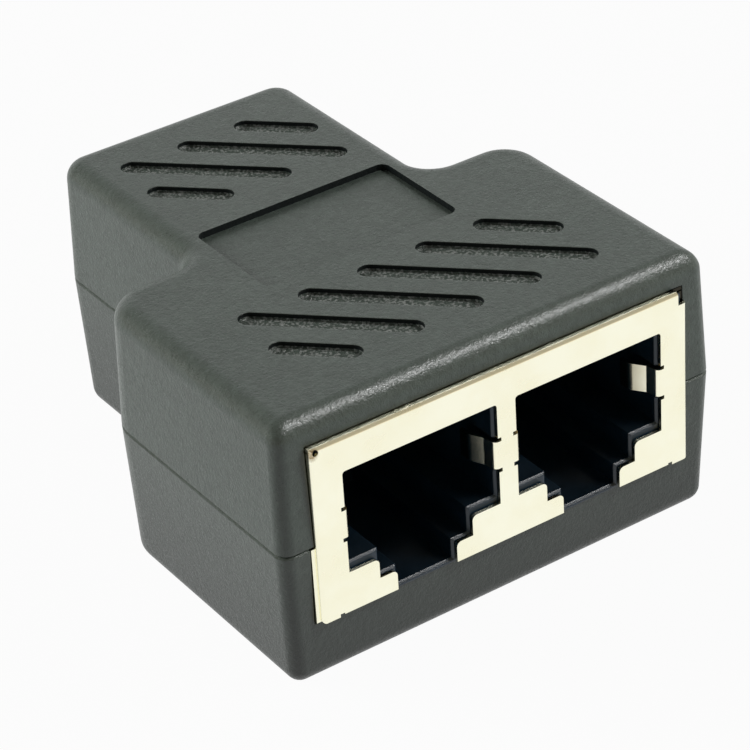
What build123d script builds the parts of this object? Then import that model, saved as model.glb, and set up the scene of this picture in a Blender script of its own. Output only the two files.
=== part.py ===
from build123d import *
import math
import os

os.makedirs("parts", exist_ok=True)

# An RJ45 splitter: one shielded network port at the back, two side by side at the front.
# Millimetres. The origin is on the surface that it rests on, under the middle of its
# length and width. The twin ports face -Y, the single port faces +Y, and +Z is up.

# Port, as its plug sets it
port_width = 12.03
port_wall = 1.94                # between the twin ports
port_height = 7.12              # plug space, from the ledges to the roof
port_depth = 12.05              # from the front of the jack body to the back wall
latch_width = 7.3               # first step down, for the plug's latch
latch_drop = 1.99
keel_width = 4.55               # second step down, for the latch's middle rib
keel_drop = 1.53
keel_skin = 0.32                # from the board to the floor of the second step

# Contact wires
contact_count = 8
contact_pitch = 1.02
row_step = 2.54                 # between the two rows of tails in the board
wire_width = 0.45
wire_thickness = 0.3
bend_cut = 0.45                 # length that a bend takes off the wire's corner, at its middle
tail_length = 1.4               # below the board
tip_drop = 3.16                 # from the port's roof to the wire's free end
tip_gap = 0.4                   # from the port's back wall to the wire's free end

# Contact carrier, the comb that slides in from behind
carrier_margin = 1.4            # beside the outer wires
carrier_ceiling = 1.54          # from the port's roof to the carrier's top
carrier_front = 3.05            # from the face of the shield
carrier_wall = 0.7              # jack body between the port and the carrier's block
groove_depth = 0.35
groove_clearance = 0.025        # on each side of a wire
carrier_clearance = 0.1
carrier_rail = 1.0              # width of the ledge that each side of the carrier slides on
carrier_lift = 0.3              # from the port's roof to the underside of the carrier
carrier_skin = 1.64             # in front of the nearer row of wires

# Shield
sheet = 0.25
fold_radius = 0.3
shield_proud = 0.3              # stands out from the shell's face
twin_margin = 2.33              # from a window to the side of the twin shield
single_margin = 1.8
side_reveal = 0.2               # how far the window stands back from the port behind it
step_reveal = 0.18
ledge_reveal = 0.58             # below the ledges that carry the plug
latch_reveal = 0.15             # below the ledges of the latch
roof_reveal = 0.3
step_fillet = 0.4
window_fillet = 0.25
toe_width = 1.4                 # foot of the face at each side
toe_drop = 0.12                 # how much lower it reaches than the rest
toe_notch = 0.35
toe_round = 0.35
side_lap = 0.3                  # where the sheet's ends overlap, low on the left side
lap_setback = 0.3               # behind the face
lap_length = 9.0
seam = 0.12                     # between folded edges that meet
relief_radius = 0.22            # drilled where two folds meet, in the left corner
corner_width = 0.75             # cut away in the right corner
corner_height = 1.0
foot_width = 1.3                # prongs that go through the board
foot_length = 2.9
foot_places = (4.6, 13.4)       # from the face of the shield

# Ground springs, cut from the edges of each window and curled into the port
spring_height = 2.15
spring_level = 12.07            # middle of a spring, above the surface it rests on
spring_tab = 0.27               # how far the face runs on before a spring folds back
spring_straight = 1.1           # depth at which it starts to lean in
spring_lean = 0.05              # by then
outer_spring_reach = 1.05       # how far a spring stands into the window
inner_spring_reach = 0.85       # the same beside the wall between the twin ports
spring_length = 2.15            # depth at which its tip turns back
spring_tip = 0.9
tip_radius = 0.8
spring_slit = 0.3
spring_slit_depth = 0.28
spring_room = 0.25              # hollow round a spring in the jack body's wall

# Jack body
housing_setback = 0.35          # behind the face of the shield
housing_gap = 0.1               # to the shield round it
housing_roof = 0.87             # above the carrier
lead_in = 0.16                  # chamfer at the port's mouth
peg_radius = 1.57
peg_clearance = 0.06
peg_offset = 5.08               # from the middle of an end port
peg_place = 8.9                 # from the face of the shield
peg_length = 2.6

# Board
board_thickness = 1.6
tail_space = 1.9                # under the board
board_gap = 0.25                # to the walls round it
tail_hole = 0.9
tail_hole_sides = 6             # small holes are drawn with few sides
notch_clearance = 0.15

# Shell
wall = 1.5
floor_thickness = 1.4
roof_thickness = 1.54
roof_gap = 0.44                 # above the jacks
parting_height = 11.0
draft_angle = 2.2
wide_side_room = 1.01           # beside the twin jack, at the parting line
narrow_side_room = 0.775        # beside the single jack
bay_length = 6.3                # between the twin jack and the single one
shoulder_room = 5.1             # from the back of the twin jack to the outside of the shoulder
shoulder_round = 3.4
shoulder_hollow = 1.7
rear_round = 2.2
front_round = 1.0
top_round = 1.5
bottom_round = 1.2
parting_chamfer = 0.15
window_clearance = 0.06

# Joint between the two halves of the shell
lip_thickness = 0.65
lip_height = 0.9
lip_clearance = 0.1
post_radius = 1.4
post_gap = 0.3                  # from the back of the twin jack
post_inset = 1.7                # from the side wall
pin_radius = 0.9
pin_clearance = 0.1
boss_clearance = 0.05
web = 0.8
rib = 0.8
rib_inset = 1.0                 # of a cross rib, from the edge of the board

# Pressed marks in the roof of the shell
groove_pitch = 4.88
groove_length = 12.75
short_groove_length = 6.39      # at both ends of a row
groove_width = 1.6
groove_sink = 0.5
groove_angle = 45
groove_shift = 2.2              # of a short groove, along and across the body
front_groove_count = 6
rear_groove_count = 4
groove_centre = 11.7            # of each row, from the middle of the body
recess_width = 16.2
recess_length = 9.25
recess_offset = 0.45            # from the middle of the body towards the twin ports
recess_sink = 0.5
recess_corner = 0.7

# Heights that follow
board_bottom = floor_thickness + tail_space
jack_base = board_bottom + board_thickness
keel_floor = jack_base + keel_skin
latch_floor = keel_floor + keel_drop
plug_ledge = latch_floor + latch_drop
port_roof = plug_ledge + port_height
carrier_bottom = port_roof + carrier_lift
carrier_top = port_roof + carrier_ceiling
jack_top = carrier_top + carrier_clearance + housing_roof + housing_gap + sheet
jack_height = jack_top - jack_base
roof_underside = jack_top + roof_gap
body_height = roof_underside + roof_thickness

# Depths in a jack that follow, from the face of its shield
port_end = housing_setback + port_depth
block_front = port_end + carrier_wall
block_back = block_front + carrier_skin + row_step + groove_depth
jack_depth = block_back + seam + sheet
row_far = block_back - groove_depth + wire_thickness / 2
wire_top = carrier_top - groove_depth + wire_thickness / 2
wire_front = carrier_front + groove_depth - wire_thickness / 2

# Widths and lengths that follow
port_pitch = port_width + port_wall
carrier_width = (contact_count - 1) * contact_pitch + wire_width + 2 * carrier_margin
window_width = port_width + 2 * side_reveal
twin_width = port_pitch + window_width + 2 * twin_margin
single_width = window_width + 2 * single_margin
wide_width = twin_width + 2 * (wide_side_room + wall)
narrow_width = single_width + 2 * (narrow_side_room + wall)
overall_length = 2 * jack_depth + bay_length
front_face = -overall_length / 2 + shield_proud
rear_face = overall_length / 2 - shield_proud
shoulder = -overall_length / 2 + jack_depth + shoulder_room
twin_back = -overall_length / 2 + jack_depth
post_x = wide_width / 2 - wall - post_inset - post_radius
post_y = twin_back + post_gap + post_radius

FRONT = -1
REAR = 1
TWIN = (-port_pitch / 2, port_pitch / 2)
SINGLE = (0.0,)


def face_plane(end, depth=0.0):
    """Plane across a jack: local x across, local y up, normal out of the body."""
    return Plane(
        origin=(0, end * (overall_length / 2 - depth), 0),
        x_dir=(-end, 0, 0),
        z_dir=(0, end, 0),
    )


def side_plane(end, across=0.0):
    """Plane along a jack: local x into the body, local y up."""
    return Plane(
        origin=(-end * across, end * overall_length / 2, 0),
        x_dir=(0, -end, 0),
        z_dir=(-end, 0, 0),
    )


def board_place(end, across, depth):
    """Place on the board of a point given across and into a jack."""
    return (-end * across, end * (overall_length / 2 - depth))


def contact_places(centre):
    """Positions of a port's wires, across the jack."""
    middle = (contact_count - 1) / 2
    return [centre + (i - middle) * contact_pitch for i in range(contact_count)]


def tail_depth(index):
    """Depth of a wire's tail: every second wire lands one row nearer the port."""
    return row_far - row_step * (index % 2)


def stepped_opening(centres, widths, levels, top):
    """Sketch of the ports: full width for the plug, then two steps down for its latch."""
    for width, level in zip(widths, levels):
        with Locations(*[(c, (level + top) / 2) for c in centres]):
            Rectangle(width, top - level)


def step_corners(sketch, centres, widths, levels):
    """The corners that stand into a stepped opening, at the inner end of each ledge."""
    places = [
        (centre + side * width / 2, level)
        for centre in centres
        for side in (-1, 1)
        for width, level in zip(widths[1:], levels[:-1])
    ]
    return sketch.vertices().filter_by(
        lambda v: any(abs(v.X - x) < 1e-4 and abs(v.Y - y) < 1e-4 for x, y in places)
    )


def taper_inset(height):
    """How far the drafted walls lean in at a height."""
    return abs(height - parting_height) * math.tan(math.radians(draft_angle))


def ease_corners(plan, x, y, radius, inset):
    """Round a corner of the plan on both sides; inside, where none shows, cut it as deep."""
    corners = plan.vertices().filter_by(
        lambda v: abs(abs(v.X) - x) < 1e-4 and abs(v.Y - y) < 1e-4
    )
    if inset == 0:
        fillet(corners, radius)
    elif radius > 0:
        chamfer(corners, (2 - math.sqrt(2)) * radius)


def body_plan(plane, inset):
    """Plan of the body: wide at the twin ports, rounded shoulders, narrow at the single one."""
    wide = wide_width / 2 - inset
    narrow = narrow_width / 2 - inset
    front = front_face + inset
    step = shoulder - inset
    rear = rear_face - inset
    with BuildSketch(plane) as plan:
        with BuildLine():
            Polyline(
                (wide, front), (wide, step), (narrow, step), (narrow, rear),
                (-narrow, rear), (-narrow, step), (-wide, step), (-wide, front),
                close=True,
            )
        make_face()
        ease_corners(plan, narrow, step, shoulder_hollow + inset, inset)
        ease_corners(plan, wide, step, shoulder_round - inset, inset)
        ease_corners(plan, narrow, rear, rear_round - inset, inset)
    return plan.sketch


def edges_near(part, level):
    """The edges of a part that lie flat at one height."""
    return part.edges().filter_by(
        lambda e: abs((e @ 0).Z - level) < 1e-4 and abs((e @ 1).Z - level) < 1e-4
        and abs((e @ 0.5).Z - level) < 1e-4
    )


def front_uprights(part):
    """The two upright edges at the front corners of a half of the shell."""
    return part.edges().filter_by(
        lambda e: abs((e @ 0.5).Y - front_face) < wall and abs((e @ 0).Z - (e @ 1).Z) > wall
    )


def turned_down(block):
    """The same block below the parting line, for the lower half of the shell."""
    return mirror(block, about=Plane.XY.offset(parting_height))


def half_shell_block(reach, edge_round):
    """Outside of one half of the shell: leans in from the parting line to a rounded end."""
    with BuildPart() as block:
        extrude(body_plan(Plane.XY.offset(parting_height), 0), amount=reach, taper=draft_angle)
        fillet(front_uprights(block), front_round)
        fillet(edges_near(block, parting_height + reach), edge_round)
        chamfer(edges_near(block, parting_height), parting_chamfer)
    return block.part


def hollow(reach):
    """Space inside one half of the shell, from the parting line to its floor or roof."""
    with BuildPart() as space:
        extrude(body_plan(Plane.XY.offset(parting_height), wall), amount=reach, taper=draft_angle)
    return space.part


def lip_ring(outer_inset, height):
    """Solid inside the parting line that a lip is cut from or a rebate is cut with."""
    with BuildPart() as ring:
        extrude(body_plan(Plane.XY.offset(parting_height), outer_inset), amount=height)
    return ring.part


def cut_windows(extra):
    """Cut the windows for the jacks through both ends of a shell, wider on the lapped side."""
    for end, width in ((FRONT, twin_width), (REAR, single_width)):
        with BuildSketch(face_plane(end, -wall)) as window:
            with Locations((-extra / 2, (jack_base + jack_top) / 2)):
                Rectangle(
                    width + 2 * window_clearance + extra,
                    jack_height + 2 * window_clearance,
                )
        extrude(window.sketch, amount=-(3 * wall + shield_proud), mode=Mode.SUBTRACT)


def slanted_row(count, middle):
    """Centres and lengths of a row of slanted grooves; the two at its ends are short ones."""
    row = []
    for i in range(count):
        x = (i - (count - 1) / 2) * groove_pitch
        side = (i == 0) - (i == count - 1)
        length = short_groove_length if side else groove_length
        row.append((x + side * groove_shift, middle - side * groove_shift, length))
    return row


# Lower shell: floor, bosses and ribs that carry the board, and the lip of the joint
with BuildPart() as lower_shell:
    add(turned_down(half_shell_block(parting_height, bottom_round)))
    add(turned_down(hollow(parting_height - floor_thickness)), mode=Mode.SUBTRACT)
    add(lip_ring(wall - lip_thickness, lip_height))
    add(lip_ring(wall, lip_height), mode=Mode.SUBTRACT)
    cut_windows(side_lap)
    with BuildSketch(Plane.XY.offset(floor_thickness)):
        with Locations((-post_x, post_y), (post_x, post_y)):
            Circle(post_radius)
        for end, width in ((FRONT, twin_width), (REAR, single_width)):
            edge = overall_length / 2 - shield_proud - wall - taper_inset(board_bottom) - board_gap
            with Locations((0, end * (edge - rib_inset))):
                Rectangle(width - 4 * rib_inset, rib)
    extrude(amount=tail_space)
    with Locations((-post_x, post_y, board_bottom), (post_x, post_y, board_bottom)):
        Hole(pin_radius + boss_clearance, depth=tail_space)

# Upper shell: posts that clamp the board, webs that brace them, and the marks in the roof
with BuildPart() as upper_shell:
    add(half_shell_block(body_height - parting_height, top_round))
    add(hollow(roof_underside - parting_height), mode=Mode.SUBTRACT)
    add(lip_ring(wall - lip_thickness - lip_clearance, lip_height + lip_clearance), mode=Mode.SUBTRACT)
    cut_windows(0)
    with BuildSketch(Plane.XY.offset(jack_base)):
        with Locations((-post_x, post_y), (post_x, post_y)):
            Circle(post_radius)
    extrude(amount=roof_underside - jack_base)
    with BuildSketch(Plane.XY.offset(floor_thickness + pin_clearance)):
        with Locations((-post_x, post_y), (post_x, post_y)):
            Circle(pin_radius)
    extrude(amount=jack_base - floor_thickness - pin_clearance)
    with BuildSketch(Plane.XY.offset(parting_height + lip_height + 2 * lip_clearance)):
        brace = wide_width / 2 - wall / 2 - taper_inset(roof_underside) - post_x
        for side in (-1, 1):
            with Locations((side * (post_x + brace / 2), post_y)):
                Rectangle(brace, web)
    extrude(until=Until.NEXT)
    with BuildSketch(Plane.XY.offset(body_height)):
        for count, middle in ((front_groove_count, -groove_centre), (rear_groove_count, groove_centre)):
            for x, y, length in slanted_row(count, middle):
                with Locations((x, y)):
                    SlotOverall(length, groove_width, rotation=-groove_angle)
    extrude(amount=-groove_sink, mode=Mode.SUBTRACT)
    with BuildSketch(Plane.XY.offset(body_height)):
        with Locations((0, -recess_offset)):
            RectangleRounded(recess_width, recess_length, recess_corner)
    extrude(amount=-recess_sink, mode=Mode.SUBTRACT)

# Board: follows the walls round it, notched for the posts and drilled for the jacks
with BuildPart() as circuit_board:
    inset = wall + taper_inset(board_bottom) + board_gap
    extrude(body_plan(Plane.XY.offset(board_bottom), inset), amount=board_thickness)
    with BuildSketch(Plane.XY.offset(board_bottom)):
        notch = 2 * (pin_radius + pin_clearance)
        with Locations((-post_x, post_y), (post_x, post_y)):
            Circle(notch / 2)
            with Locations((0, (shoulder - post_y) / 2)):
                Rectangle(notch, shoulder - post_y)
        for end, centres, width in ((FRONT, TWIN, twin_width), (REAR, SINGLE, single_width)):
            for centre in centres:
                for i, x in enumerate(contact_places(centre)):
                    with Locations(board_place(end, x, tail_depth(i))):
                        RegularPolygon(tail_hole / 2, tail_hole_sides)
            for side in (-1, 1):
                with Locations(board_place(end, side * (centres[-1] + peg_offset), peg_place)):
                    Circle(peg_radius + peg_clearance)
                for place in foot_places:
                    reach = width / 2 - sheet - notch_clearance
                    outside = wide_width / 2
                    middle = side * (reach + outside) / 2
                    with Locations(board_place(end, middle, place)):
                        Rectangle(outside - reach, foot_width + 2 * notch_clearance)
    extrude(amount=board_thickness, mode=Mode.SUBTRACT)


def shield_block(end, width, inset, radius):
    """Box of a shield, or of the space inside it, with its folds rounded."""
    with BuildPart() as block:
        with BuildSketch(face_plane(end, inset)):
            with Locations((0, (jack_base + jack_top - inset) / 2)):
                Rectangle(width - 2 * inset, jack_height - inset)
        extrude(amount=-(jack_depth - 2 * inset))
        face_y = end * (overall_length / 2 - inset)
        back_y = end * (overall_length / 2 - jack_depth + inset)
        folds = block.edges().filter_by(
            lambda e: (abs((e @ 0.5).Y - face_y) < 1e-4 and (e @ 0.5).Z > jack_base + radius)
            or (abs((e @ 0.5).Y - back_y) < 1e-4 and (e @ 0.5).Z > jack_top - inset - radius)
        )
        fillet(folds, radius)
    return block.part


def spring_profile(end, centre, side):
    """Plan of a ground spring: a strip folded back at the window's edge that leans into the port."""
    edge = window_width / 2
    middle = sheet / 2
    reach = inner_spring_reach if side * centre < 0 else outer_spring_reach
    path = [
        (edge + sheet, middle),
        (edge + middle - spring_tab, middle),
        (edge - spring_tab - spring_lean, spring_straight),
        (edge - reach, spring_length),
        (edge - reach, spring_length + spring_tip),
    ]
    points = [board_place(end, centre + side * across, depth) for across, depth in path]
    with BuildSketch(Plane.XY.offset(spring_level - spring_height / 2)) as plan:
        with BuildLine() as line:
            FilletPolyline(*points, radius=[sheet, sheet, tip_radius])
        trace(line.line, sheet)
    return plan.sketch


def make_shield(end, centres, width):
    """A folded sheet: face with windows, roof, sides and back, open below."""
    side_x = (width - sheet) / 2
    window_widths = (
        window_width,
        latch_width + 2 * step_reveal,
        keel_width + 2 * step_reveal,
    )
    levels = (plug_ledge - ledge_reveal, latch_floor - latch_reveal, jack_base - sheet)
    with BuildPart() as shield:
        add(shield_block(end, width, 0, fold_radius))
        add(shield_block(end, width, sheet, fold_radius - sheet), mode=Mode.SUBTRACT)
        with BuildSketch(face_plane(end)) as windows:
            stepped_opening(centres, window_widths, levels, port_roof + roof_reveal)
            fillet(step_corners(windows, centres, window_widths, levels), step_fillet)
            fillet(windows.vertices().group_by(Axis.Y)[-1], window_fillet)
            for centre in centres:
                for side in (-1, 1):
                    for level in (-1, 1):
                        x = centre + side * (window_width + spring_slit_depth) / 2
                        z = spring_level + level * (spring_height + spring_slit) / 2
                        with Locations((x, z)):
                            Rectangle(spring_slit_depth, spring_slit)
        extrude(amount=-2 * sheet, mode=Mode.SUBTRACT)
        for centre in centres:
            for side in (-1, 1):
                extrude(spring_profile(end, centre, side), amount=spring_height)
        with BuildSketch(face_plane(end)):
            with Locations((fold_radius - side_x, jack_top - fold_radius)):
                Circle(relief_radius)
            with Locations((width / 2, jack_top)):
                Rectangle(2 * corner_width, 2 * corner_height)
            for side in (-1, 1):
                with Locations((side * (width - toe_notch) / 2 - side * toe_width, jack_base)):
                    Rectangle(toe_notch, 4 * toe_drop)
                with Locations((side * width / 2, jack_base)):
                    Rectangle(2 * toe_round, 2 * toe_round)
                with Locations((side * (width / 2 - toe_round), jack_base + toe_round)):
                    Circle(toe_round, mode=Mode.SUBTRACT)
            with Locations((0, jack_base)):
                Rectangle(width - 2 * toe_width, 2 * toe_drop)
        extrude(amount=-2 * fold_radius, mode=Mode.SUBTRACT)
        with BuildSketch(face_plane(end, lap_setback)):
            bottom = jack_base + toe_drop
            top = parting_height - window_clearance
            with Locations((-side_x - side_lap / 2, (bottom + top) / 2)):
                Rectangle(sheet + side_lap, top - bottom)
        extrude(amount=-lap_length)
        with BuildSketch(face_plane(end, fold_radius)):
            with Locations(*[(side * side_x, jack_top - sheet - seam / 2) for side in (-1, 1)]):
                Rectangle(sheet + seam, seam)
        extrude(amount=-jack_depth, mode=Mode.SUBTRACT)
        with BuildSketch(face_plane(end, jack_depth - sheet - seam)):
            for side in (-1, 1):
                with Locations((side * (side_x - sheet / 2), (jack_base + jack_top) / 2 - sheet)):
                    Rectangle(seam, jack_height)
        extrude(amount=-jack_depth, mode=Mode.SUBTRACT)
        for side in (-1, 1):
            with BuildSketch(side_plane(end, side * side_x)):
                for place in foot_places:
                    with Locations((place, jack_base - foot_length / 2)):
                        Rectangle(foot_width, foot_length)
            extrude(amount=sheet / 2, both=True)
        tips = edges_near(shield, jack_base - foot_length).filter_by(Axis.X)
        chamfer(tips, foot_width / 4)
    return shield.part


def carrier_profile(inset_top, block_rear):
    """Side view of a contact carrier: a tongue over the port and a block down to the board."""
    top = carrier_top - inset_top
    Polyline(
        (carrier_front + inset_top, carrier_bottom),
        (block_front, carrier_bottom),
        (block_front, jack_base),
        (block_rear, jack_base),
        (block_rear, top),
        (carrier_front + inset_top, top),
        close=True,
    )


def make_carrier(end, centre):
    """A comb of grooves; every second groove runs deeper for the nearer row of tails."""
    cut_inside = bend_cut - (2 - math.sqrt(2)) * wire_thickness / 2
    with BuildPart() as carrier:
        with BuildSketch(side_plane(end, centre)):
            with BuildLine():
                carrier_profile(0, block_back)
            make_face()
        extrude(amount=carrier_width / 2, both=True)
        for i, x in enumerate(contact_places(centre)):
            floor_back = tail_depth(i) - wire_thickness / 2
            floor_front = carrier_front + groove_depth
            floor_top = carrier_top - groove_depth
            with BuildSketch(side_plane(end, x)) as groove:
                with Locations((jack_depth / 2, jack_height / 2)):
                    Rectangle(2 * jack_depth, 4 * jack_height)
                with Locations(((floor_front + floor_back) / 2, 0)):
                    Rectangle(floor_back - floor_front, 2 * floor_top, mode=Mode.SUBTRACT)
                inner = groove.vertices().filter_by(lambda v: abs(v.Y - floor_top) < 1e-4)
                chamfer(inner.sort_by(Axis.X)[0], cut_inside)
            extrude(amount=wire_width / 2 + groove_clearance, both=True, mode=Mode.SUBTRACT)
    return carrier.part


def make_contact(end, x, depth):
    """A sprung wire: up from the board, forward over the carrier, round it, down into the port."""
    turn = carrier_bottom - 3 * wire_thickness / 2
    with BuildPart() as contact:
        with BuildSketch(side_plane(end, x)):
            with BuildLine() as line:
                Polyline(
                    (depth, board_bottom - tail_length),
                    (depth, wire_top),
                    (wire_front + bend_cut, wire_top),
                    (wire_front, wire_top - bend_cut),
                    (wire_front, turn + bend_cut / 2),
                    (wire_front + bend_cut, turn - bend_cut / 3),
                    (port_end - tip_gap, port_roof - tip_drop),
                )
            trace(line.line, wire_thickness)
        extrude(amount=wire_width / 2, both=True)
    return contact.part


def make_housing(end, centres, width):
    """Jack body: stepped ports, hollows for the springs, and a seat behind for each carrier."""
    body_width = width - 2 * (sheet + housing_gap)
    body_top = jack_top - sheet - housing_gap
    throat = carrier_width - 2 * carrier_rail
    with BuildPart() as housing:
        with BuildSketch(face_plane(end, housing_setback)):
            with Locations((0, (jack_base + body_top) / 2)):
                Rectangle(body_width, body_top - jack_base)
        extrude(amount=-(block_back - housing_setback))
        with BuildSketch(face_plane(end, housing_setback)):
            stepped_opening(
                centres,
                (port_width, latch_width, keel_width),
                (plug_ledge, latch_floor, keel_floor),
                port_roof,
            )
        extrude(amount=-port_depth, mode=Mode.SUBTRACT)
        mouth = housing.edges().filter_by(
            lambda e: abs((e @ 0.5).Y - end * (overall_length / 2 - housing_setback)) < 1e-4
            and keel_floor - 1e-4 < (e @ 0.5).Z < port_roof + 1e-4
            and abs((e @ 0.5).X) < body_width / 2 - sheet
        )
        chamfer(mouth, lead_in)
        with BuildSketch(face_plane(end, housing_setback)):
            for centre in centres:
                for side in (-1, 1):
                    with Locations((centre + side * port_width / 2, spring_level)):
                        Rectangle(2 * (side_reveal + spring_room), spring_height + 2 * spring_room)
        extrude(amount=-spring_length, mode=Mode.SUBTRACT)
        with BuildSketch(face_plane(end, carrier_front - groove_depth)):
            with Locations(*[(c, (carrier_bottom + carrier_top + carrier_clearance) / 2) for c in centres]):
                Rectangle(
                    carrier_width + 2 * carrier_clearance,
                    carrier_top + carrier_clearance - carrier_bottom,
                )
        extrude(amount=-jack_depth, mode=Mode.SUBTRACT)
        with BuildSketch(face_plane(end, carrier_front - groove_depth)):
            with Locations(*[(c, (port_roof + carrier_bottom) / 2) for c in centres]):
                Rectangle(throat, carrier_lift)
        extrude(amount=-(port_end - carrier_front + groove_depth), mode=Mode.SUBTRACT)
        with BuildSketch(face_plane(end, block_front - carrier_clearance)):
            with Locations(*[(c, (jack_base + carrier_top) / 2) for c in centres]):
                Rectangle(carrier_width + 2 * carrier_clearance, carrier_top - jack_base)
        extrude(amount=-jack_depth, mode=Mode.SUBTRACT)
        with BuildSketch(Plane.XY.offset(jack_base)):
            for side in (-1, 1):
                with Locations(board_place(end, side * (centres[-1] + peg_offset), peg_place)):
                    Circle(peg_radius)
        extrude(amount=-peg_length)
    return housing.part


def write(part, name):
    part.label = name
    export_step(part, f"parts/{name}.step")


write(lower_shell.part, "lower_shell")
write(upper_shell.part, "upper_shell")
write(circuit_board.part, "circuit_board")

jacks = (
    ("front", FRONT, TWIN, twin_width, ("front_left", "front_right")),
    ("rear", REAR, SINGLE, single_width, ("rear",)),
)
for jack, end, centres, width, ports in jacks:
    write(make_shield(end, centres, width), f"{jack}_shield")
    write(make_housing(end, centres, width), f"{jack}_jack_housing")
    for port, centre in zip(ports, centres):
        write(make_carrier(end, centre), f"{port}_contact_carrier")
        for i, x in enumerate(contact_places(centre)):
            write(make_contact(end, x, tail_depth(i)), f"{port}_contact_{i + 1}")
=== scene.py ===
import math

import bpy
from mathutils import Matrix, Vector


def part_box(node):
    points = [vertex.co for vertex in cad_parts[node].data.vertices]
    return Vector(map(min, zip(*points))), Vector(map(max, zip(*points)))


# Looks of an RJ45 splitter: spark-textured dark plastic, a pale gold shield, black jack bodies.
# Metres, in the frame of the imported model: twin ports face -Y, +Z is up, the floor is z = 0.

MM = 0.001

# Camera, from the photograph
CAMERA_PLACE = (-102.465 * MM, -164.563 * MM, 130.967 * MM)
AZIMUTH = 32.762                # degrees, of the view's direction, from +Y towards +X
ELEVATION = 32.489              # degrees, looking down
ROLL = -3.838                   # degrees
LENS = 151.878
SENSOR = 36.0

# Finish: sizes
EDGE_ROUND = 0.15 * MM          # of the shell's sharp edges, outside the recess
MARK_DEPTH = 0.50 * MM          # of the grooves and the recess in the roof
RECESS_REACH = 5.2 * MM         # of the recess, from the middle of the body
HALF_LEVEL = 0.63               # how far up a face looks, half way between upright and level
MOUTH_ROUND = 0.12 * MM         # of the jack bodies' edges
MOTTLE_SIZE = 7 * MM            # of the shells' texture, as far as the painted glints
CLOUD_SIZE = 0.6 * MM
GRIT_SIZE = 0.24 * MM
GRIT_DEPTH = 0.028 * MM
SUNK_GRIT_DEPTH = 0.080 * MM    # more of it, on the floors of the grooves
DUST_SIZE = 0.12 * MM
DUST_DEPTH = 0.018 * MM
PIT_SPACING = 0.42 * MM
PIT_DEPTH = 0.016 * MM
PAINTED_GLINT_SIZE = 0.22 * MM          # of painted glints: bright dots on the floors of the grooves
PORT_SHADE_START = 0.5 * MM           # behind the shield's face, where painted shade on the springs begins
PORT_SHADE_END = 2.4 * MM
WEAVE_SIZE = 0.5 * MM           # of the board's glass cloth

# Finish: colours, in linear light
WHITE = (1.0, 1.0, 1.0, 1.0)
SHELL_TONES = ((0.043, 0.056, 0.047, 1.0), (0.049, 0.063, 0.053, 1.0))
SHELL_CLOUD = (0.027, 0.035, 0.029, 1.0)
# The pits' tone is lighter: a painted glint at the centre of each pit.
SHELL_PIT_GLINT = (0.110, 0.122, 0.106, 1.0)
SHELL_FOOT_SHADE = (0.012, 0.015, 0.013, 1.0)      # painted shade, towards the floor
SHELL_WALL_SHADE = (0.006, 0.008, 0.008, 1.0)      # painted shade on the walls of the grooves and the recess
SHELL_PAINTED_GLINT = (0.190, 0.199, 0.187, 1.0)     # painted glints on the floors of the grooves
PLATING_TONES = ((0.998, 0.985, 0.800, 1.0), (0.975, 0.945, 0.720, 1.0))
TARNISH = (0.240, 0.150, 0.045, 1.0)
# Near black in the corner cut away on the right: the bare cut edges, and painted shade in the cut.
CUT_EDGE_AND_SHADE = (0.020, 0.020, 0.016, 1.0)
# Painted shade, deeper inside the ports.
PORT_SHADE = (0.290, 0.240, 0.165, 1.0)
JACK_TONE = (0.008, 0.026, 0.046, 1.0)
CARRIER_TONE = (0.009, 0.025, 0.042, 1.0)
CONTACT_TONES = ((0.90, 0.66, 0.28, 1.0), (0.80, 0.62, 0.36, 1.0))
BOARD_TONES = ((0.010, 0.085, 0.030, 1.0), (0.016, 0.115, 0.045, 1.0))
FLOOR_TONES = ((0.38, 0.38, 0.38, 1.0), (0.42, 0.42, 0.42, 1.0))

# Light
FLOOR_SIZE = 4.0
FLOOR_GLOW = 0.96               # share of plain white that the camera sees in the floor
WORLD_LEVEL = 0.06
SKY_LEVEL = 0.35                # overhead, as a shiny surface mirrors it; 1 at the horizon
FRONT_SKY_LEVEL = 0.42          # the same above the front
FRONT_SKY_TINT = (1.0, 0.90, 0.74, 1.0)
BRIGHT_SIDE = (0.54, 0.84, 0.0)     # towards which the surroundings stay white higher up
LAMPS = {
    # name: (place, size, watts, whether shiny surfaces mirror it, whether it lights matt ones)
    "left_lamp": ((-0.43, 0.37, 0.18), 0.40, 5.8, False, True),
    "right_lamp": ((0.48, -0.34, 0.10), 0.40, 3.4, False, True),
    "top_lamp": ((0.30, -0.26, 0.43), 0.10, 2.0, False, True),
    "edge_lamp": ((0.27, -0.21, 0.49), 0.10, 2.7, True, False),
}
AIM = (0.0, 0.0, 0.010)


def put(tree, kind, **settings):
    """Add a node; names of sockets are given as in_<name> or in_<number>, the rest are properties."""
    node = tree.nodes.new(kind)
    for key, value in settings.items():
        if key.startswith("in_"):
            name = key[3:]
            socket = node.inputs[int(name) if name.isdigit() else name.replace("_", " ")]
            if isinstance(value, bpy.types.NodeSocket):
                tree.links.new(value, socket)
            else:
                socket.default_value = value
        else:
            setattr(node, key, value)
    return node


def new_material(name):
    """An empty node material with its output, and the object's own coordinates."""
    material = bpy.data.materials.new(name)
    material.use_nodes = True
    tree = material.node_tree
    tree.nodes.clear()
    output = put(tree, "ShaderNodeOutputMaterial")
    place = put(tree, "ShaderNodeTexCoord").outputs["Object"]
    return material, tree, output, place


def noise(tree, place, grain, detail=3.0, roughness=0.55):
    """Noise whose features are about grain metres across, from 0 to 1."""
    node = put(
        tree, "ShaderNodeTexNoise", in_Vector=place, in_Scale=1.0 / grain,
        in_Detail=detail, in_Roughness=roughness,
    )
    return node.outputs["Fac"]


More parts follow.
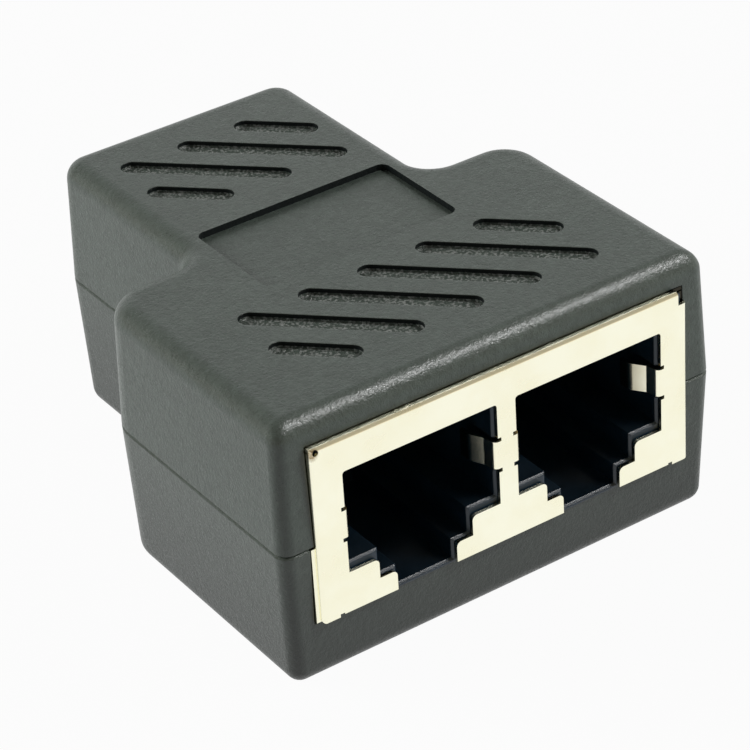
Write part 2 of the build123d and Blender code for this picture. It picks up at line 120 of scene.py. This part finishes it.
def spread(tree, value, low, high, to_low, to_high):
    """Map a value from one range to another, held at its ends."""
    node = put(
        tree, "ShaderNodeMapRange", in_0=value, in_1=low, in_2=high, in_3=to_low, in_4=to_high,
    )
    return node.outputs[0]


def blend_colour(tree, factor, first, second):
    """Mix two colours or colour sockets."""
    node = put(tree, "ShaderNodeMix", data_type="RGBA", in_0=factor, in_6=first, in_7=second)
    return node.outputs[2]


def blend_level(tree, factor, first, second):
    """Mix two levels."""
    node = put(tree, "ShaderNodeMix", data_type="FLOAT", in_0=factor, in_2=first, in_3=second)
    return node.outputs[0]


def bump(tree, height, depth, strength=1.0, normal=None):
    """Bump of a given depth in metres, laid on another one if given."""
    node = put(tree, "ShaderNodeBump", in_Strength=strength, in_Distance=depth, in_Height=height)
    if normal is not None:
        tree.links.new(normal, node.inputs["Normal"])
    return node.outputs["Normal"]


def eased(tree, radius):
    """Normal of a surface whose edges are rounded a little, as a mould leaves them."""
    return put(tree, "ShaderNodeBevel", samples=6, in_Radius=radius).outputs["Normal"]


def finish_material(tree, output, shader):
    """Join the shader to the material's output."""
    tree.links.new(shader.outputs[0], output.inputs["Surface"])


def near(tree, place, point, full, none):
    """1 within one distance of a point, fading to 0 at another."""
    away = put(tree, "ShaderNodeVectorMath", operation="DISTANCE", in_0=place, in_1=point)
    return spread(tree, away.outputs["Value"], full, none, 1.0, 0.0)


def product(tree, first, second):
    """Two values multiplied."""
    return put(tree, "ShaderNodeMath", operation="MULTIPLY", in_0=first, in_1=second).outputs[0]


def absolute(tree, value):
    """A value without its sign."""
    return put(tree, "ShaderNodeMath", operation="ABSOLUTE", in_0=value).outputs[0]


def mark_masks(tree, place, top):
    """1 on the walls of the pressed marks, where shade is painted, 1 low in the grooves, where glints
    are painted and the bump is coarser, and 1 beyond the recess.

    The walls of a groove count as walls in their upper part only, those of the recess in full.
    Low in a groove, its floor and its upright walls count, but not the rounds of the shell's
    edge at the same height, which lean between the two.
    """
    facing = put(tree, "ShaderNodeNewGeometry").outputs["True Normal"]
    level = put(tree, "ShaderNodeSeparateXYZ", in_0=facing).outputs["Z"]
    parts = put(tree, "ShaderNodeSeparateXYZ", in_0=place)
    height = parts.outputs["Z"]
    along = absolute(tree, parts.outputs["Y"])
    beyond = spread(tree, along, RECESS_REACH, 1.01 * RECESS_REACH, 0.0, 1.0)
    wall_foot = spread(tree, beyond, 0.0, 1.0, top - 1.02 * MARK_DEPTH, top - 0.62 * MARK_DEPTH)
    above = put(tree, "ShaderNodeMath", operation="GREATER_THAN", in_0=height, in_1=wall_foot)
    shaded_wall = product(tree, spread(tree, level, 0.3, 0.5, 1.0, 0.0), above.outputs[0])
    low = product(
        tree, spread(tree, height, top - 1.10 * MARK_DEPTH, top - 1.05 * MARK_DEPTH, 0.0, 1.0),
        spread(tree, height, top - 0.65 * MARK_DEPTH, top - 0.55 * MARK_DEPTH, 1.0, 0.0),
    )
    half_way = put(tree, "ShaderNodeMath", operation="SUBTRACT", in_0=level, in_1=HALF_LEVEL)
    square = spread(tree, absolute(tree, half_way.outputs[0]), 0.30, 0.33, 0.0, 1.0)
    return shaded_wall, product(tree, product(tree, low, square), beyond), beyond


def shell_colour(tree, place, top, pits, shaded_wall, sunk):
    """Mottled dark plastic, with painted shade towards the floor and on the walls of its marks, and
    painted glints at the pits and low in the grooves.
    """
    mottle = noise(tree, place, MOTTLE_SIZE, 4.0)
    cloud = noise(tree, place, CLOUD_SIZE, 3.0, 0.6)
    base = blend_colour(tree, spread(tree, mottle, 0.35, 0.65, 0.0, 1.0), *SHELL_TONES)
    base = blend_colour(tree, spread(tree, cloud, 0.40, 0.60, 0.0, 0.50), base, SHELL_CLOUD)
    # Painted glints: lighter at the centres of the pits.
    base = blend_colour(tree, spread(tree, pits, 0.0, 0.16, 0.40, 0.0), base, SHELL_PIT_GLINT)
    height = put(tree, "ShaderNodeSeparateXYZ", in_0=place).outputs["Z"]
    # Painted shade: darker towards the floor.
    base = blend_colour(tree, spread(tree, height, 0.0, 0.6 * top, 0.80, 0.0), base, SHELL_FOOT_SHADE)
    # Painted shade on the walls of the marks.
    base = blend_colour(tree, shaded_wall, base, SHELL_WALL_SHADE)
    # Painted glints: bright dots low in the grooves.
    glint = noise(tree, place, PAINTED_GLINT_SIZE, 1.0)
    painted_glints = product(tree, sunk, spread(tree, glint, 0.48, 0.62, 0.0, 0.85))
    return blend_colour(tree, painted_glints, base, SHELL_PAINTED_GLINT)


def spark_plastic(top):
    """Moulded shell: the mould's spark-eroded texture, faint mottling, painted shade on the marks'
    walls.
    """
    material, tree, output, place = new_material("spark_plastic")
    shaded_wall, sunk, beyond = mark_masks(tree, place, top)
    grit = noise(tree, place, GRIT_SIZE, 2.0, 0.5)
    dust = noise(tree, place, DUST_SIZE, 2.0, 0.6)
    pits = put(tree, "ShaderNodeTexVoronoi", in_Vector=place, in_Scale=1.0 / PIT_SPACING).outputs[0]
    relief = bump(tree, grit, GRIT_DEPTH, 1.0, eased(tree, product(tree, beyond, EDGE_ROUND)))
    relief = bump(tree, dust, DUST_DEPTH, 1.0, relief)
    relief = bump(tree, pits, PIT_DEPTH, 0.8, relief)
    relief = bump(tree, grit, SUNK_GRIT_DEPTH, sunk, relief)
    # Where shade is painted on the marks' walls, they also reflect less.
    shader = put(
        tree, "ShaderNodeBsdfPrincipled",
        in_Base_Color=shell_colour(tree, place, top, pits, shaded_wall, sunk),
        in_Roughness=spread(tree, dust, 0.3, 0.7, 0.24, 0.50), in_Normal=relief,
        in_Specular_IOR_Level=spread(tree, shaded_wall, 0.0, 1.0, 0.50, 0.15),
    )
    finish_material(tree, output, shader)
    return material


def plated_sheet(low, high):
    """Shield: pale gold plating on rolled sheet, given the box of the front one.

    It is browned round the hole in the front face's left corner, near black in the corner cut away
    on the right from its bare cut edges and painted shade, and given painted shade deepening
    into the ports, at both ends of the body.
    """
    material, tree, output, place = new_material("plated_sheet")
    stain = noise(tree, place, 4 * MM, 4.0, 0.6)
    drawn = put(tree, "ShaderNodeMapping", in_Vector=place, in_Scale=(1.0, 1.0, 14.0)).outputs[0]
    lines = noise(tree, drawn, 1.6 * MM, 3.0, 0.6)
    grain = noise(tree, place, 0.12 * MM, 2.0)
    base = blend_colour(tree, spread(tree, stain, 0.35, 0.7, 0.0, 1.0), *PLATING_TONES)
    hole = (low[0] + 0.45 * MM, low[1], high[2] - 0.35 * MM)
    ragged = spread(tree, grain, 0.3, 0.7, 0.5, 1.0)
    tarnish = product(tree, near(tree, place, hole, 0.20 * MM, 0.60 * MM), ragged)
    base = blend_colour(tree, tarnish, base, TARNISH)
    lengthwise = put(tree, "ShaderNodeSeparateXYZ", in_0=place).outputs["Y"]
    behind = spread(tree, lengthwise, low[1] + 0.24 * MM, low[1] + 0.32 * MM, 0.0, 1.0)
    # Near black in the cut-away corner: the bare cut edges, and painted shade.
    corner = near(tree, place, (high[0], low[1], high[2]), 1.2 * MM, 1.5 * MM)
    base = blend_colour(tree, product(tree, corner, behind), base, CUT_EDGE_AND_SHADE)
    # Painted shade, darker with depth in the ports.
    reach = -low[1]
    port_shade = spread(
        tree, absolute(tree, lengthwise), reach - PORT_SHADE_END, reach - PORT_SHADE_START, 0.90, 0.0,
    )
    base = blend_colour(tree, port_shade, base, PORT_SHADE)
    relief = bump(tree, lines, 0.004 * MM, 0.5)
    relief = bump(tree, grain, 0.003 * MM, 0.5, relief)
    shader = put(
        tree, "ShaderNodeBsdfPrincipled", in_Base_Color=base, in_Metallic=1.0,
        in_Roughness=spread(tree, stain, 0.3, 0.7, 0.20, 0.30), in_Normal=relief,
    )
    finish_material(tree, output, shader)
    return material


def jack_plastic(name, colour):
    """Jack bodies and carriers: black glass-filled plastic with a slight flow texture."""
    material, tree, output, place = new_material(name)
    flow = noise(tree, place, 2.5 * MM, 3.0)
    grain = noise(tree, place, 0.10 * MM, 2.0)
    dark = tuple(0.6 * c for c in colour[:3]) + (1.0,)
    base = blend_colour(tree, spread(tree, flow, 0.3, 0.7, 0.0, 1.0), dark, colour)
    shader = put(
        tree, "ShaderNodeBsdfPrincipled", in_Base_Color=base,
        in_Roughness=spread(tree, flow, 0.3, 0.7, 0.30, 0.40),
        in_Normal=bump(tree, grain, 0.012 * MM, 0.8, eased(tree, MOUTH_ROUND)),
    )
    finish_material(tree, output, shader)
    return material


def contact_gold():
    """Contact wires: gold flash over a drawn wire, a little uneven."""
    material, tree, output, place = new_material("contact_gold")
    flash = noise(tree, place, 1.0 * MM, 3.0)
    base = blend_colour(tree, spread(tree, flash, 0.3, 0.7, 0.0, 1.0), *CONTACT_TONES)
    shader = put(
        tree, "ShaderNodeBsdfPrincipled", in_Base_Color=base, in_Metallic=1.0,
        in_Roughness=spread(tree, flash, 0.3, 0.7, 0.18, 0.32),
        in_Normal=bump(tree, noise(tree, place, 0.08 * MM), 0.002 * MM, 0.5),
    )
    finish_material(tree, output, shader)
    return material


def board_laminate():
    """Circuit board: green lacquer over a glass weave."""
    material, tree, output, place = new_material("board_laminate")
    checks = put(tree, "ShaderNodeTexChecker", in_Vector=place, in_Scale=1.0 / WEAVE_SIZE)
    weave = checks.outputs["Fac"]
    cloud = noise(tree, place, 3 * MM)
    base = blend_colour(tree, spread(tree, cloud, 0.3, 0.7, 0.0, 1.0), *BOARD_TONES)
    shader = put(
        tree, "ShaderNodeBsdfPrincipled", in_Base_Color=base,
        in_Roughness=spread(tree, cloud, 0.3, 0.7, 0.30, 0.42),
        in_Normal=bump(tree, weave, 0.006 * MM, 0.4),
    )
    finish_material(tree, output, shader)
    return material


def dress(nodes):
    """Give every node of the model its material."""
    shell = spark_plastic(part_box("upper_shell")[1][2])
    shield = plated_sheet(*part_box("front_shield"))
    jack = jack_plastic("jack_plastic", JACK_TONE)
    carrier = jack_plastic("carrier_plastic", CARRIER_TONE)
    gold = contact_gold()
    board = board_laminate()
    for name, piece in nodes.items():
        if name.endswith("shell"):
            material = shell
        elif name.endswith("shield"):
            material = shield
        elif name.endswith("housing"):
            material = jack
        elif name.endswith("carrier"):
            material = carrier
        elif name == "circuit_board":
            material = board
        else:
            material = gold
        piece.data.materials.clear()
        piece.data.materials.append(material)


def seen_directly(tree):
    """1 for rays from the camera, and for mirror and glass rays."""
    path = put(tree, "ShaderNodeLightPath")
    first = put(
        tree, "ShaderNodeMath", operation="MAXIMUM",
        in_0=path.outputs["Is Camera Ray"], in_1=path.outputs["Is Glossy Ray"],
    )
    both = put(
        tree, "ShaderNodeMath", operation="MAXIMUM",
        in_0=first.outputs[0], in_1=path.outputs["Is Transmission Ray"],
    )
    return both.outputs[0]


def make_floor():
    """A pale floor, white to the camera, that keeps a faint shadow."""
    bpy.ops.mesh.primitive_plane_add(size=FLOOR_SIZE)
    floor = bpy.context.object
    floor.name = "floor"
    material, tree, output, place = new_material("floor")
    cloud = noise(tree, place, 0.3)
    tint = blend_colour(tree, cloud, *FLOOR_TONES)
    paper = put(tree, "ShaderNodeBsdfDiffuse", in_Color=tint)
    glow = put(tree, "ShaderNodeEmission", in_Color=WHITE, in_Strength=1.0)
    mix = put(
        tree, "ShaderNodeMixShader", in_0=product(tree, seen_directly(tree), FLOOR_GLOW),
        in_1=paper.outputs[0], in_2=glow.outputs[0],
    )
    finish_material(tree, output, mix)
    floor.data.materials.append(material)


def make_world():
    """White surroundings, dimmer as a light than they look.

    A shiny surface sees them dim overhead, and lower down, and warm, above the front.
    """
    world = bpy.data.worlds.new("studio")
    bpy.context.scene.world = world
    world.use_nodes = True
    tree = world.node_tree
    tree.nodes.clear()
    direction = put(tree, "ShaderNodeTexCoord").outputs["Generated"]
    rise = put(tree, "ShaderNodeSeparateXYZ", in_0=direction).outputs["Z"]
    ahead = spread(tree, rise, 0.0, 0.35, 1.0, FRONT_SKY_LEVEL)
    behind = spread(tree, rise, 0.35, 0.95, 1.0, SKY_LEVEL)
    side = put(
        tree, "ShaderNodeVectorMath", operation="DOT_PRODUCT", in_0=direction, in_1=BRIGHT_SIDE,
    )
    front = spread(tree, side.outputs["Value"], 0.35, 0.75, 1.0, 0.0)
    glossy = put(tree, "ShaderNodeLightPath").outputs["Is Glossy Ray"]
    tint = blend_colour(tree, product(tree, front, glossy), WHITE, FRONT_SKY_TINT)
    look = blend_level(tree, glossy, 1.0, blend_level(tree, front, behind, ahead))
    level = blend_level(tree, seen_directly(tree), WORLD_LEVEL, look)
    back = put(tree, "ShaderNodeBackground", in_Color=tint, in_Strength=level)
    output = put(tree, "ShaderNodeOutputWorld")
    tree.links.new(back.outputs[0], output.inputs["Surface"])


def make_lamp(name, place, size, watts, mirrored, matt):
    """A square soft box that points at the object. Some give light and no glare, or the reverse."""
    light = bpy.data.lights.new(name, "AREA")
    light.size = size
    light.energy = watts
    lamp = bpy.data.objects.new(name, light)
    bpy.context.scene.collection.objects.link(lamp)
    lamp.location = place
    lamp.visible_glossy = mirrored
    lamp.visible_diffuse = matt
    lamp.rotation_euler = (Vector(AIM) - Vector(place)).to_track_quat("-Z", "Y").to_euler()
    return lamp


def pieces_called(nodes, ending):
    """The pieces whose names end in a word."""
    return [piece for name, piece in nodes.items() if name.endswith(ending)]


def light_only(lamp, pieces):
    """Keep a lamp's light to some pieces: no glare on the metal, and dark ports."""
    group = bpy.data.collections.new(lamp.name + "_pieces")
    for piece in pieces:
        group.objects.link(piece)
    lamp.light_linking.receiver_collection = group


def make_camera():
    """The photograph's camera: direction from azimuth and elevation, then turned by the roll."""
    azimuth, elevation, roll = (math.radians(a) for a in (AZIMUTH, ELEVATION, ROLL))
    ahead = Vector((
        math.sin(azimuth) * math.cos(elevation),
        math.cos(azimuth) * math.cos(elevation),
        -math.sin(elevation),
    ))
    level = ahead.cross(Vector((0, 0, 1))).normalized()
    upright = level.cross(ahead)
    right = level * math.cos(roll) + upright * math.sin(roll)
    up = upright * math.cos(roll) - level * math.sin(roll)
    data = bpy.data.cameras.new("camera")
    data.lens = LENS
    data.sensor_width = SENSOR
    data.clip_start = 0.01
    camera = bpy.data.objects.new("camera", data)
    bpy.context.scene.collection.objects.link(camera)
    turn = Matrix((right, up, -ahead)).transposed().to_4x4()
    camera.matrix_world = Matrix.Translation(CAMERA_PLACE) @ turn
    bpy.context.scene.camera = camera


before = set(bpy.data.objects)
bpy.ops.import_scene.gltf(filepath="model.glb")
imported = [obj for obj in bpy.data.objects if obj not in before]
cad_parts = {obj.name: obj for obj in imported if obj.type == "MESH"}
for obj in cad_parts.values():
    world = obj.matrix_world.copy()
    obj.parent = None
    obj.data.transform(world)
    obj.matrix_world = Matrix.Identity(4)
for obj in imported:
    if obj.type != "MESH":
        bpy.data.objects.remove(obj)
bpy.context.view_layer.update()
dress(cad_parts)
make_floor()
make_world()
lamps = {name: make_lamp(name, *setting) for name, setting in LAMPS.items()}
shells = pieces_called(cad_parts, "shell")
light_only(lamps["top_lamp"], shells)
light_only(lamps["edge_lamp"], shells + pieces_called(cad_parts, "housing"))
make_camera()
bpy.context.scene.view_settings.view_transform = "Standard"
